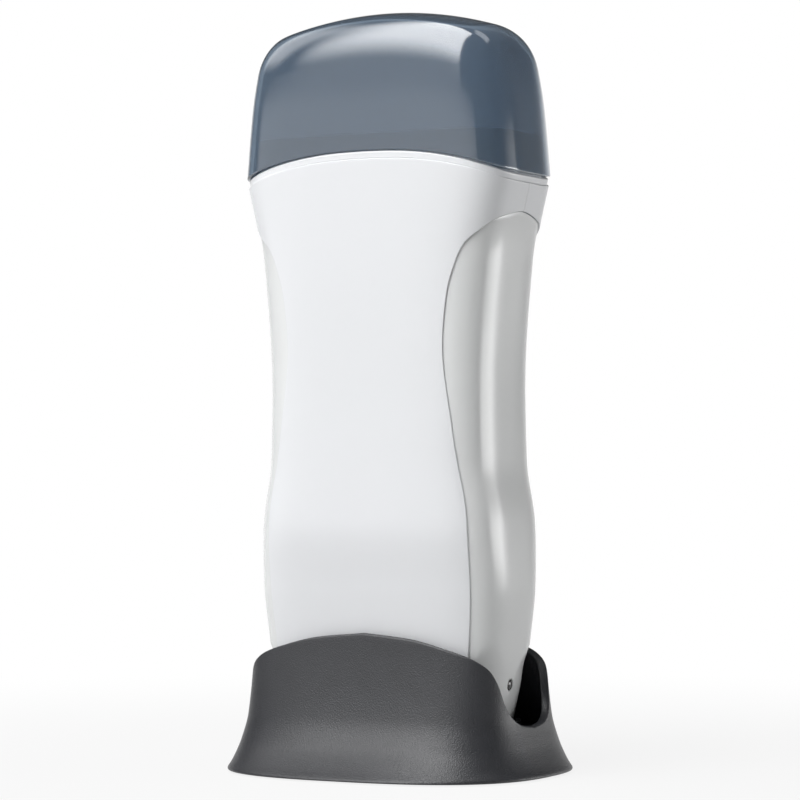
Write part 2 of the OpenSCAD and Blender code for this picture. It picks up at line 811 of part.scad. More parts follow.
module cord_gland() {
    color("#2b2b2d")
    gland_place() difference() {
        rod(gland_r, gland_len);
        translate([0, 0, -pass]) rod(gland_bore_r, gland_len + 2 * pass);
    }
}

// Heater
module front_shell() {
    color("#e4e6e8") half_shell();
}

module rear_shell() {
    color("#e4e6e8") mirror([0, 1, 0]) half_shell();
}

module side_panel_right() {
    color("#c9cbcc")
    difference() {
        side_panel();
        translate([board_half_w, 0, led_z])
            rotate([0, 90, 0]) rod(led_r + led_rim, led_face_x);
    }
}

module side_panel_left() {
    color("#c9cbcc") mirror([1, 0, 0]) side_panel();
}

module collar() {
    neck_in = cap_wall + cap_gap;
    bore_in = neck_in + neck_wall;
    mouth = [
        for (d = ring_dirs)
            rounded(d, chamber_w / 2 + mouth_gap, chamber_d / 2 + mouth_gap, chamber_r + mouth_gap)
    ];
    function ring_at(inset, z) = [for (d = ring_dirs) cap_pt(d, z, inset)];
    color("#dfe1e3")
    hoop([
        [for (d = ring_dirs) body_pt(d, seam_at(seam_x(d)) - band_h, panel_inset)],
        [for (d = ring_dirs) body_pt(d, seam_at(seam_x(d)) - chamfer, panel_inset)],
        [for (d = ring_dirs) body_pt(d, seam_at(seam_x(d)), panel_inset + chamfer)],
        [for (d = ring_dirs) cap_pt(d, seam_at(seam_x(d)), neck_in)],
        ring_at(neck_in, neck_top_z - chamfer),
        ring_at(neck_in + chamfer, neck_top_z),
        ring_at(bore_in, neck_top_z),
        ring_at(bore_in, deck_under_z + deck_t),
        [for (p = mouth) [p.x, p.y, deck_under_z + deck_t]],
        [for (p = mouth) [p.x, p.y, deck_under_z]],
        ring_at(bore_in + chamfer / 2, deck_under_z),
        [for (d = ring_dirs) body_pt(d, seam_at(seam_x(d)) - band_h, bore_in)]
    ]);
}

module bottom_cover() {
    color("#d4d6d8")
    difference() {
        translate([0, 0, foot_z]) linear_extrude(cover_t) body_outline(foot_z, shell_wall + fit_gap);
        two(pin_pitch / 2) rod(socket_r + screw_clear, foot_z + cover_t + pass);
        two(leg_x) head_hole(foot_z + screw_sink, foot_z + cover_t + pass);
    }
}

module cover_screws() {
    color("#b9bcc2")
    two(leg_x) translate([0, 0, foot_z + screw_sink]) screw(screw_len);
}

// The sockets pass through the cover and rest on it with a flange
module contact_sockets() {
    color("#c9a24b")
    two(pin_pitch / 2) difference() {
        union() {
            translate([0, 0, foot_z + fit_gap]) rod(socket_r, pin_rise + 2 * socket_wall);
            translate([0, 0, foot_z + cover_t]) rod(socket_r + socket_wall, socket_wall);
        }
        rod(pin_r + pin_clear, foot_z + pin_rise + socket_wall);
    }
}

module heating_sleeve() {
    color("#c3c7cc")
    translate([0, 0, chamber_z]) linear_extrude(deck_under_z - chamber_z) difference() {
        bar(chamber_w + 2 * sleeve_wall, chamber_d + 2 * sleeve_wall, chamber_r + sleeve_wall);
        bar(chamber_w, chamber_d, chamber_r);
    }
}

module chamber_floor() {
    under_z = chamber_z - floor_t;
    edge = sleeve_wall + floor_edge;
    color("#8f9296")
    difference() {
        union() {
            translate([0, 0, under_z]) linear_extrude(floor_t)
                bar(chamber_w + 2 * edge, chamber_d + 2 * edge, chamber_r + edge);
            translate([0, 0, under_z]) linear_extrude(floor_t + lip_h)
                bar(chamber_w - 2 * fit_gap, chamber_d - 2 * fit_gap, chamber_r - fit_gap);
            two(leg_x) translate([0, 0, foot_z + cover_t]) rod(leg_r, chamber_z - foot_z - cover_t);
            four(post_x, post_y)
                translate([0, 0, board_z + board_t]) rod(post_r, under_z + floor_t / 2 - board_z - board_t);
        }
        two(leg_x) translate([0, 0, foot_z + screw_sink]) screw_hole(screw_len);
        four(post_x, post_y) translate([0, 0, board_z]) screw_hole(screw_len);
    }
}

module circuit_board() {
    color("#3f7a4e")
    translate([0, 0, board_z]) linear_extrude(board_t) difference() {
        bar(2 * board_half_w, 2 * board_half_d, board_r);
        two(leg_x) circle(leg_r + fit_gap, $fn = round_fn);
        four(post_x, post_y) circle(screw_r + fit_gap, $fn = round_fn);
    }
}

module board_screws() {
    color("#b9bcc2")
    four(post_x, post_y) translate([0, 0, board_z]) screw(screw_len - 1);
}

// The pilot light lies on its side under the board's right edge
led_back_x = board_half_w - 3 * led_r;
module pilot_led() {
    color("#b8493e")
    translate([led_back_x, 0, led_z]) rotate([0, 90, 0]) {
        rod(led_r + led_rim, led_r);
        rod(led_r, led_face_x - lens_len - fit_gap - led_back_x);
    }
    color("#b9bcc2")
    for (y = [-lead_y, lead_y])
        translate([led_back_x + led_rim, y, led_z + led_r / 2])
            rod(lead_r, board_z - led_z - led_r / 2);
}

module led_lens() {
    color("#d8dde0")
    translate([led_face_x - lens_len, 0, led_z])
        rotate([0, 90, 0]) rod(led_r + led_rim / 2, lens_len);
}

module ptc_heater() {
    color("#dcd8cf")
    translate([chamber_w / 2 + sleeve_wall, -ptc_w / 2, ptc_z]) cube([ptc_t, ptc_w, ptc_h]);
}

module ptc_heater_right() {
    ptc_heater();
}

module ptc_heater_left() {
    mirror([1, 0, 0]) ptc_heater();
}

module clamp_band() {
    w = chamber_w + 2 * (sleeve_wall + ptc_t);
    d = chamber_d + 2 * sleeve_wall;
    color("#a9adb3")
    translate([0, 0, ptc_z + ptc_h / 2 - strap_h / 2]) linear_extrude(strap_h) difference() {
        bar(w + 2 * strap_t, d + 2 * strap_t, strap_r + strap_t);
        bar(w, d, strap_r);
    }
}

// Each sheet lies on a wide face of the sleeve, in two lengths that leave room for the band
module insulation() {
    sheet_w = chamber_w - 2 * chamber_r - 2 * sheet_gap;
    strap_z = ptc_z + ptc_h / 2 - strap_h / 2;
    spans = [
        [chamber_z + sheet_rise, strap_z - sheet_gap],
        [strap_z + strap_h + sheet_gap, sensor_z + thermostat_r]
    ];
    color("#e8e2d0")
    for (part = spans)
        translate([-sheet_w / 2, -chamber_d / 2 - sleeve_wall - sheet_t, part[0]])
            cube([sheet_w, sheet_t, part[1] - part[0]]);
}

module insulation_front() {
    insulation();
}

module insulation_rear() {
    mirror([0, 1, 0]) insulation();
}

module thermostat() {
    tab_t = 0.8;
    color("#8d8f92")
    translate([chamber_w / 2 + sleeve_wall, 0, sensor_z]) rotate([0, 90, 0]) {
        rod(thermostat_r, thermostat_t);
        rod(thermostat_r - 1, thermostat_t + thermostat_cap);
    }
    color("#b9bcc2")
    for (y = [-1, 1])
        translate([
            chamber_w / 2 + sleeve_wall + thermostat_t + thermostat_cap - tab_t / 2,
            y * thermostat_r / 2 - tab_t,
            sensor_z
        ])
            cube([tab_t, 2 * tab_t, tab_len]);
}

module thermal_fuse() {
    color("#c8c2a8")
    translate([-chamber_w / 2 - sleeve_wall - fuse_r, 0, sensor_z - fuse_len / 2]) {
        rod(fuse_r, fuse_len);
        translate([0, 0, -fuse_lead]) rod(fuse_r / 4, fuse_len + 2 * fuse_lead);
    }
}

// One wire from the board up the outer face of each heater block
module power_wires() {
    x = chamber_w / 2 + sleeve_wall + ptc_t + wire_r;
    color("#b23a2e")
    two(x) translate([0, wire_y, board_z + board_t]) rod(wire_r, ptc_z + wire_lap - board_z - board_t);
}

// Cap: a wall, a rounded edge and a dome, inside and outside
module cap() {
    sides = 5;
    turns = 4;
    domes = [0.86, 0.66, 0.42, 0.18];
    inner_r = cap_edge_r - cap_wall;
    // Height at which the rounded edge starts
    function edge_z(d) =
        let (p = cap_pt(d, cap_top_z - cap_edge_r, cap_edge_r)) dome_at(p.x, p.y) - cap_edge_r;
    function side_ring(v, inset) = [
        for (d = ring_dirs)
            let (low = seam_at(cap_pt(d, collar_z).x) + cap_gap)
            cap_pt(d, low + v * (edge_z(d) - low), inset)
    ];
    function edge_ring(a, r, inset) = [
        for (d = ring_dirs)
            let (p = cap_pt(d, edge_z(d), inset + r * (1 - cos(a))))
            [p.x, p.y, edge_z(d) + r * sin(a)]
    ];
    function dome_ring(s, inset) = [
        for (d = ring_dirs)
            let (p = cap_pt(d, edge_z(d), cap_edge_r) * s)
            [p.x, p.y, dome_at(p.x, p.y) - inset]
    ];
    color("#5b6875", 0.75)
    stack(concat(
        [for (i = [len(domes) - 1:-1:0]) dome_ring(domes[i], cap_wall)],
        [for (i = [turns:-1:1]) edge_ring(90 * i / turns, inner_r, cap_wall)],
        [for (i = [sides:-1:0]) side_ring(i / sides, cap_wall)],
        [for (i = [0:sides]) side_ring(i / sides, 0)],
        [for (i = [1:turns]) edge_ring(90 * i / turns, cap_edge_r, 0)],
        [for (s = domes) dome_ring(s, 0)]
    ));
}

base_shell();
base_bottom_plate();
base_feet();
base_screws();
dock_tray();
dock_connector();
dock_pins();
cord_gland();
front_shell();
rear_shell();
side_panel_left();
side_panel_right();
collar();
bottom_cover();
cover_screws();
contact_sockets();
heating_sleeve();
chamber_floor();
ptc_heater_left();
ptc_heater_right();
clamp_band();
insulation_front();
insulation_rear();
thermostat();
thermal_fuse();
circuit_board();
board_screws();
pilot_led();
led_lens();
power_wires();
cap();
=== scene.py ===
import math
import bmesh
import bpy
from mathutils import Matrix, Vector


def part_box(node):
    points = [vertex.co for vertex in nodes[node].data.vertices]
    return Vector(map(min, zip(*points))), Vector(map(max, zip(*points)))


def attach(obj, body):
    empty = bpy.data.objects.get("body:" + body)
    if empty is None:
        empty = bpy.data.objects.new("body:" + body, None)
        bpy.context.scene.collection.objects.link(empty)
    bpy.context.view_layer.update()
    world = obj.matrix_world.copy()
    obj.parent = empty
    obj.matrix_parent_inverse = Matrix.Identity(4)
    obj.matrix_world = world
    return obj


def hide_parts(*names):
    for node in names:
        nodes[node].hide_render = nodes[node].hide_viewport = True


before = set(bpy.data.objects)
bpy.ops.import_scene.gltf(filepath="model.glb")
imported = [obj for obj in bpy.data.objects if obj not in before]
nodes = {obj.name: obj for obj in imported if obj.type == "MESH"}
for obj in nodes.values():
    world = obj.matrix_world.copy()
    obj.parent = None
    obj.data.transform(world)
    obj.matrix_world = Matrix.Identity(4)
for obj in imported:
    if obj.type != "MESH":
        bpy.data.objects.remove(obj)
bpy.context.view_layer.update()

mm = 0.001


# the heater's own curves: settings in mm, and the surfaces that they give

bodyForm = {
    # height, half width, half depth
    "sections": [
        (14.1, 36.9, 19.6), (40, 40.1, 20.6), (58, 41.5, 22.4), (77, 40.8, 24.2),
        (96, 38.1, 24), (118, 37.7, 23.8), (158, 40.5, 24), (184, 46.2, 24),
    ],
    "squareness": 5,
    # height, half width of the oval foot
    "footTrim": [(14.1, 35.3), (27.6, 38.6), (32.8, 39.5), (38, 41.4)],
    "footTrimTop": 38,
    "footTrimRunOut": 4,  # above its top the oval widens, and is dropped after this much height
    "footTrimHalfDepth": 36,
    "creaseBlend": 0.02,  # share of the section over which the oval and the body run together
    "middleZ": 100,
}
capForm = {
    # height, half width, half depth
    "sections": [(184, 45.8, 23.7), (206, 43.8, 23.2), (229.4, 39.6, 21.8)],
    "squareness": 5.6,
    "topZ": 235, "domeDrop": 7.2, "domeReach": 40, "crownDrop": 3.7, "crownReach": 20,
    "wall": 2, "gap": 0.35, "middleZ": 205,
}
baseForm = {
    # height, half width, half depth, squareness
    "sections": [
        (0, 53.2, 43.6, 2.64), (3.96, 50.6, 38.73, 2.9), (9.9, 47.8, 33.1, 3.4),
        (18, 45.4, 29, 4), (35.8, 43.7, 25.3, 4.8), (43.8, 43.4, 24.4, 5),
    ],
    # place round the section, height of the rim
    "rim": [
        (0, 43.8), (0.37, 42.3), (0.69, 39.2), (1, 35.8), (1.17, 33.3),
        (1.31, 28.97), (1.42, 23.13), (1.56, 18.8), (1.75, 16.3), (2, 15.3),
    ],
    "lift": 0.5, "wall": 2.2, "rimRound": 0.7,
}
# the arched seam between the cap and the collar, which is lowest at the sides
seamForm = {"z": 190.3, "drop": 5.4, "reach": 40, "power": 2.36, "bandHeight": 2.2}
panelForm = {
    # groove up to the arch: height, place; 0 is the front's middle, 1 a corner, 2 a side's middle
    "groove": [
        (14.1, 0.91), (52, 0.915), (85, 0.935), (104, 0.846), (133, 0.728), (145.8, 0.747), (157.8, 0.84),
        (162.14, 0.93),
    ],
    # groove over the arch: place, height
    "arch": [
        (0.747, 145.8), (0.84, 157.8), (0.93, 162.14), (1.06, 164.66), (1.19, 166.9), (1.385, 169.14),
        (1.715, 170.96), (1.9, 171.66), (2, 171.8),
    ],
    "archZ": 157.8, "archPlace": 0.84, "gap": 0.08, "inset": 0.5,
}


def along(line, z, k=1):
    # smooth line through a table of stations that never overshoots
    z = min(max(z, line[0][0]), line[-1][0])
    i = 0
    while i < len(line) - 2 and z >= line[i + 1][0]:
        i += 1

    def rise(n):
        return (line[n + 1][k] - line[n][k]) / (line[n + 1][0] - line[n][0])

    def grade(n):
        if n <= 0:
            return rise(0)
        if n >= len(line) - 1:
            return rise(len(line) - 2)
        a, b = rise(n - 1), rise(n)
        return 0 if a * b <= 0 else 2 * a * b / (a + b)

    h = line[i + 1][0] - line[i][0]
    t = (z - line[i][0]) / h
    return (
        line[i][k] * (2 * t**3 - 3 * t**2 + 1) + grade(i) * h * (t**3 - 2 * t**2 + t)
        + line[i + 1][k] * (3 * t**2 - 2 * t**3) + grade(i + 1) * h * (t**3 - t**2)
    )


def toward(place):
    # direction on the unit square; places on the right are positive
    if abs(place) <= 1:
        return place, -1.0
    return math.copysign(1, place), abs(place) - 2


def placeOf(d):
    # place of a direction, the same on the left and the right, the front and the rear
    return abs(d[0] / d[1]) if abs(d[1]) >= abs(d[0]) else 2 - abs(d[1] / d[0])


def turned(turn):
    # direction once round the square, from the front's middle to the right, turn 0 to 1
    eighth = (turn % 1) * 8
    place = eighth if eighth <= 4 else eighth - 8
    if abs(place) <= 2:
        return toward(place)
    x, y = toward(math.copysign(4 - abs(place), place))
    return x, -y


def reach(d, n, a=1, b=1):
    # how far along d the superellipse of power n and half axes a and b lies
    return ((abs(d[0]) / a) ** n + (abs(d[1]) / b) ** n) ** (-1 / n)


def bodyPoint(d, z, inset=0):
    f = bodyForm
    a = along(f["sections"], z, 1) - inset
    b = along(f["sections"], z, 2) - inset
    free = reach(d, f["squareness"])
    if z < f["footTrimTop"] + f["footTrimRunOut"]:
        trim = along(f["footTrim"], z) + max(0, z - f["footTrimTop"]) - inset
        cut = reach((a * d[0], b * d[1]), 2, trim, f["footTrimHalfDepth"] - inset)
        blend = max(f["creaseBlend"] - abs(free - cut), 0) / f["creaseBlend"]
        free = min(free, cut) - blend**2 * f["creaseBlend"] / 4
    return a * d[0] * free, b * d[1] * free, z


def sectionPoint(sections, squareness, d, z, inset):
    a = along(sections, z, 1) - inset
    b = along(sections, z, 2) - inset
    r = reach(d, squareness)
    return a * d[0] * r, b * d[1] * r, z


def capPoint(d, z, inset=0):
    return sectionPoint(capForm["sections"], capForm["squareness"], d, z, inset)


def basePoint(d, z, inset=0):
    return sectionPoint(baseForm["sections"], along(baseForm["sections"], z, 3), d, z, inset)


def seamAt(x):
    return seamForm["z"] - seamForm["drop"] * (abs(x) / seamForm["reach"]) ** seamForm["power"]


def domeAt(x, y):
    f = capForm
    return f["topZ"] - f["domeDrop"] * (x / f["domeReach"]) ** 2 - f["crownDrop"] * (y / f["crownReach"]) ** 2


# mesh helpers

meshing = {
    "crowding": 0.12,  # how much a row's columns crowd towards its far end, where the corners are
    "mergeWithin": 0.001,
    "lipAngle": 50,  # a turn sharper than this, in degrees, is a lip and gets a rounding
}


def crowd(s):
    return s + meshing["crowding"] * math.sin(math.pi * s)


def addGrid(bm, columns, rows, lay):
    # a grid whose u and v, both 0 to 1, are laid on a surface
    for vert in bmesh.ops.create_grid(bm, x_segments=columns, y_segments=rows, size=0.5)["verts"]:
        u = round((vert.co.x + 0.5) * columns) / columns
        v = round((vert.co.y + 0.5) * rows) / rows
        vert.co = Vector(lay(u, v)) * mm


def weld(bm):
    bmesh.ops.remove_doubles(bm, verts=bm.verts[:], dist=meshing["mergeWithin"] * mm)
    bmesh.ops.recalc_face_normals(bm, faces=bm.faces[:])


def thicken(bm, middleZ, wall):
    # the surface's faces point away from the middle, and the wall grows inwards from them
    middle = Vector((0, 0, middleZ)) * mm
    bm.normal_update()
    outward = sum((f.calc_center_median() - middle).dot(f.normal) * f.calc_area() for f in bm.faces)
    if outward < 0:
        bmesh.ops.reverse_faces(bm, faces=bm.faces[:])
    bm.normal_update()
    bmesh.ops.solidify(bm, geom=bm.faces[:], thickness=wall * mm)
    bm.normal_update()


def breakEdges(bm, width, segments=3, chosen=lambda edge: True):
    limit = math.radians(meshing["lipAngle"])
    lips = [e for e in bm.edges if len(e.link_faces) == 2 and e.calc_face_angle(0) > limit]
    bmesh.ops.bevel(
        bm, geom=[e for e in lips if chosen(e)], offset=width * mm, offset_type="OFFSET", segments=segments,
        profile=0.5, affect="EDGES", clamp_overlap=True, material=-1,
    )


def flip(bm, x, y):
    # mirror image, with its faces turned out again
    bmesh.ops.transform(bm, matrix=Matrix.Diagonal((x, y, 1, 1)), verts=bm.verts[:])
    bmesh.ops.reverse_faces(bm, faces=bm.faces[:])


def addObject(name, bm, material=None):
    mesh = bpy.data.meshes.new(name)
    bm.to_mesh(mesh)
    bm.free()
    if material:
        mesh.materials.append(material)
    added = bpy.data.objects.new(name, mesh)
    bpy.context.scene.collection.objects.link(added)
    return added


def finishPiece(bm, name, body, finish, stands, sharp=38):
    # smooth faces, crisp where the turn is over this many degrees, riding on its body
    for face in bm.faces:
        face.smooth = True
    for edge in bm.edges:
        edge.smooth = not (len(edge.link_faces) == 2 and edge.calc_face_angle(0) > math.radians(sharp))
    piece = addObject(name, bm, materials[finish])
    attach(piece, body)
    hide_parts(*stands)
    print("made", name, len(piece.data.polygons), "faces")
    return piece


# materials

def hexColour(code):
    # sRGB hex to the linear colour that a shader takes
    values = [int(code[i:i + 2], 16) / 255 for i in (1, 3, 5)]
    return [v / 12.92 if v <= 0.04045 else ((v + 0.055) / 1.055) ** 2.4 for v in values] + [1]


def addNode(tree, kind, inputs=None, **settings):
    node = tree.nodes.new(kind)
    for key, value in settings.items():
        setattr(node, key, value)
    for key, value in (inputs or {}).items():
        if isinstance(value, bpy.types.NodeSocket):
            tree.links.new(value, node.inputs[key])
        else:
            node.inputs[key].default_value = value
    return node


# what a finish has where it doesn't say otherwise
plainLook = {
    "driftDetail": 3, "grainDetail": 2, "grainRoughness": 0.6,
    "metallic": 0, "ior": 1.5, "coat": 0, "coatRoughness": 0.1, "transmission": 0,
}


def surface(name, given):
    # a moulded, drawn or fired surface: two close colours in a slow drift, and a fine grain in the bump
    look = {**plainLook, **given}
    material = bpy.data.materials.new(name)
    material.use_nodes = True
    tree = material.node_tree
    tree.nodes.clear()
    spot = addNode(tree, "ShaderNodeTexCoord")
    drift = addNode(tree, "ShaderNodeTexNoise", {
        "Vector": spot.outputs["Object"], "Scale": 1 / (look["driftMm"] * mm), "Detail": look["driftDetail"],
    })
    grain = addNode(tree, "ShaderNodeTexNoise", {
        "Vector": spot.outputs["Object"], "Scale": 1 / (look["grainMm"] * mm), "Detail": look["grainDetail"],
        "Roughness": look["grainRoughness"],
    })
    tone = addNode(tree, "ShaderNodeMix", {
        "Factor": drift.outputs["Fac"], 6: hexColour(look["colour"]), 7: hexColour(look["colourTo"]),
    }, data_type="RGBA")
    rough = addNode(tree, "ShaderNodeMapRange", {
        "Value": grain.outputs["Fac"], "To Min": look["roughness"] - look["roughSpread"],
        "To Max": look["roughness"] + look["roughSpread"],
    })
    bump = addNode(tree, "ShaderNodeBump", {
        "Height": grain.outputs["Fac"], "Strength": look["bump"], "Distance": look["grainDepthMm"] * mm,
    })
    shader = addNode(tree, "ShaderNodeBsdfPrincipled", {
        "Base Color": tone.outputs[2], "Roughness": rough.outputs["Result"], "Normal": bump.outputs["Normal"],
        "Metallic": look["metallic"], "IOR": look["ior"], "Transmission Weight": look["transmission"],
        "Coat Weight": look["coat"], "Coat Roughness": look["coatRoughness"],
    })
    addNode(tree, "ShaderNodeOutputMaterial", {"Surface": shader.outputs["BSDF"]})
    return material


finishes = {
    # polished injection-moulded ABS: pale, cool white, a soft sheen and the faintest ripple
    "polishedAbs": {
        "colour": "#dfe0e3", "colourTo": "#dcdee0", "driftMm": 60, "grainMm": 1.1, "grainDepthMm": 0.012,
        "bump": 0.12, "roughness": 0.26, "roughSpread": 0.02, "ior": 1.52,
    },
    # satin injection-moulded ABS of the side inlays: a little warmer and duller
    "satinAbs": {
        "colour": "#dcdddd", "colourTo": "#d8dada", "driftMm": 50, "grainMm": 0.9, "grainDepthMm": 0.012,
        "bump": 0.14, "roughness": 0.22, "roughSpread": 0.02, "ior": 1.52,
    },
    # spark-eroded ABS: dark grey and matt, with a dense sandy grain, drawn coarser than it is to show
    "sparkGrainedAbs": {
        "colour": "#2a2b2e", "colourTo": "#313236", "driftMm": 7, "grainMm": 0.42, "grainDepthMm": 0.12,
        "grainDetail": 1, "bump": 0.85, "roughness": 0.4, "roughSpread": 0.12,
    },
    # tinted SAN: smoke blue, polished inside and out, slightly milky, which veils the neck behind it
    "tintedSan": {
        "colour": "#8596a7", "colourTo": "#8293a5", "driftMm": 40, "grainMm": 6, "grainDepthMm": 0.004,
        "bump": 0.1, "roughness": 0.1, "roughSpread": 0.01, "ior": 1.57, "transmission": 0.8,
        "coat": 0.8, "coatRoughness": 0.08,
    },
    # nitrile rubber: near black, dull
    "nitrileRubber": {
        "colour": "#222224", "colourTo": "#29292b", "driftMm": 4, "grainMm": 0.3, "grainDepthMm": 0.03,
        "bump": 0.4, "roughness": 0.7, "roughSpread": 0.06,
    },
    # zinc-plated steel: cool, bright, slightly hazy
    "zincPlatedSteel": {
        "colour": "#b9bcc2", "colourTo": "#aeb3ba", "driftMm": 1.5, "grainMm": 0.15, "grainDepthMm": 0.01,
        "bump": 0.3, "roughness": 0.34, "roughSpread": 0.06, "metallic": 1,
    },
    # plated brass: warm and bright
    "platedBrass": {
        "colour": "#d3ad58", "colourTo": "#c79f4a", "driftMm": 2, "grainMm": 0.2, "grainDepthMm": 0.008,
        "bump": 0.2, "roughness": 0.22, "roughSpread": 0.04, "metallic": 1,
    },
    # deep-drawn aluminium: pale grey, satin
    "drawnAluminium": {
        "colour": "#c6c9cd", "colourTo": "#bcc0c5", "driftMm": 12, "grainMm": 0.4, "grainDepthMm": 0.01,
        "bump": 0.25, "roughness": 0.36, "roughSpread": 0.06, "metallic": 1,
    },
    # glass-filled nylon: mid grey, matt, with a fibrous mottle
    "filledNylon": {
        "colour": "#8a8d91", "colourTo": "#94979b", "driftMm": 3, "grainMm": 0.5, "grainDepthMm": 0.03,
        "bump": 0.35, "roughness": 0.6, "roughSpread": 0.07,
    },
    # black nylon of the dock's contact block
    "blackNylon": {
        "colour": "#1f1f22", "colourTo": "#27272a", "driftMm": 4, "grainMm": 0.4, "grainDepthMm": 0.02,
        "bump": 0.3, "roughness": 0.5, "roughSpread": 0.06,
    },
    # fired alumina: off-white, fine, dull
    "firedAlumina": {
        "colour": "#dcd8cf", "colourTo": "#d2cdc2", "driftMm": 5, "grainMm": 0.3, "grainDepthMm": 0.02,
        "bump": 0.3, "roughness": 0.55, "roughSpread": 0.05,
    },
    # mica sheet: cream, flaky, slightly silky
    "micaSheet": {
        "colour": "#e3dbc4", "colourTo": "#d6cba9", "driftMm": 6, "grainMm": 1.2, "grainDepthMm": 0.04,
        "bump": 0.4, "roughness": 0.42, "roughSpread": 0.1,
    },
    # solder-masked glass-fibre board: green and glossy
    "maskedBoard": {
        "colour": "#2f6b41", "colourTo": "#3a7a4c", "driftMm": 4, "grainMm": 0.6, "grainDepthMm": 0.02,
        "bump": 0.3, "roughness": 0.3, "roughSpread": 0.05, "coat": 0.3,
    },
    # cast epoxy of the pilot light: red, clear at its skin
    "castEpoxy": {
        "colour": "#a33c33", "colourTo": "#b0463b", "driftMm": 2, "grainMm": 0.4, "grainDepthMm": 0.005,
        "bump": 0.1, "roughness": 0.15, "roughSpread": 0.02, "transmission": 0.3,
    },
    # smoked acrylic lens: near black while the light behind it is off
    "smokedAcrylic": {
        "colour": "#17181a", "colourTo": "#1d1e20", "driftMm": 2, "grainMm": 0.5, "grainDepthMm": 0.004,
        "bump": 0.1, "roughness": 0.12, "roughSpread": 0.02, "ior": 1.49, "transmission": 0.2,
    },
    # silicone wire sleeving: brick red, soft sheen
    "siliconeSleeving": {
        "colour": "#a5382d", "colourTo": "#b04234", "driftMm": 3, "grainMm": 0.3, "grainDepthMm": 0.01,
        "bump": 0.2, "roughness": 0.45, "roughSpread": 0.05,
    },
}
materials = {name: surface(name, look) for name, look in finishes.items()}
print("materials", len(materials))

nodeFinishes = {
    "sparkGrainedAbs": ["base_shell", "base_bottom_plate", "dock_tray"],
    "nitrileRubber": ["base_feet", "cord_gland"],
    "zincPlatedSteel": ["base_screws", "cover_screws", "board_screws", "clamp_band"],
    "blackNylon": ["dock_connector"],
    "platedBrass": ["dock_pins", "contact_sockets"],
    "polishedAbs": ["front_shell", "rear_shell", "collar", "bottom_cover"],
    "satinAbs": ["side_panel_left", "side_panel_right"],
    "drawnAluminium": ["heating_sleeve", "thermostat"],
    "filledNylon": ["chamber_floor"],
    "firedAlumina": ["ptc_heater_left", "ptc_heater_right", "thermal_fuse"],
    "micaSheet": ["insulation_front", "insulation_rear"],
    "maskedBoard": ["circuit_board"],
    "castEpoxy": ["pilot_led"],
    "smokedAcrylic": ["led_lens"],
    "siliconeSleeving": ["power_wires"],
    "tintedSan": ["cap"],
}
for finish, names in nodeFinishes.items():
    for name in names:
        slots = nodes[name].material_slots
        if slots:
            for one in slots:
                one.material = materials[finish]
        else:
            nodes[name].data.materials.append(materials[finish])
print("nodes finished", sum(len(names) for names in nodeFinishes.values()))


# base wall

wallMesh = {
    "columns": 288, "flareRows": 30, "rimSteps": 5, "footRound": 1.1,
    "rowPower": 1.15,  # the rows lie closer at the foot, where the wall flares
    "sharp": 60,
}


def quarter(i, steps):
    # the two gaps between a quarter circle of radius 1 and its corner, at step i
    a = math.pi / 2 * i / steps
    return 1 - math.sin(a), 1 - math.cos(a)


def makeBaseWall():
    f, m = baseForm, wallMesh
    steps, rows, foot, r, wall = m["rimSteps"], m["flareRows"], m["footRound"], f["rimRound"], f["wall"]
    section = []  # share of the way up to the rim, drop, inset; from the foot up outside and down inside
    for i in range(steps + 1):
        inner, lower = quarter(i, steps)
        section.append((0, -foot * lower, foot * inner))
    for i in range(1, rows):
        section.append(((i / rows) ** m["rowPower"], -foot * (1 - i / rows), 0))
    for i in range(steps + 1):
        drop, inset = quarter(i, steps)
        section.append((1, r * drop, r * inset))
    for i in range(1, steps + 1):
        inset, drop = quarter(i, steps)
        section.append((1, r * drop, wall - r * inset))
    for i in range(rows - 1, 0, -1):
        section.append(((i / rows) ** m["rowPower"], 0, wall))
    section.append((0, 0, wall))
    count = len(section)

    def lay(u, v):
        share, drop, inset = section[round(v * count) % count]
        d = turned(u)
        rise = along(f["rim"], placeOf(d)) - f["lift"]
        return basePoint(d, f["lift"] + rise * share - drop, inset)

    bm = bmesh.new()
    addGrid(bm, m["columns"], count, lay)
    weld(bm)
    finishPiece(bm, "base_wall", "base", "sparkGrainedAbs", ["base_shell"], m["sharp"])


makeBaseWall()


# front and rear shells

shellMesh = {
    "lowColumns": 64, "lowRows": 110, "archColumns": 36, "highRows": 28, "wall": 2,
    "hairline": 0.06,  # gap under the collar
    # roundings: of the edges that show, and of the parting line between front and rear
    "lip": 0.9, "lipSteps": 4, "partingLip": 0.12, "partingSteps": 2, "partingWithin": 0.01,
}


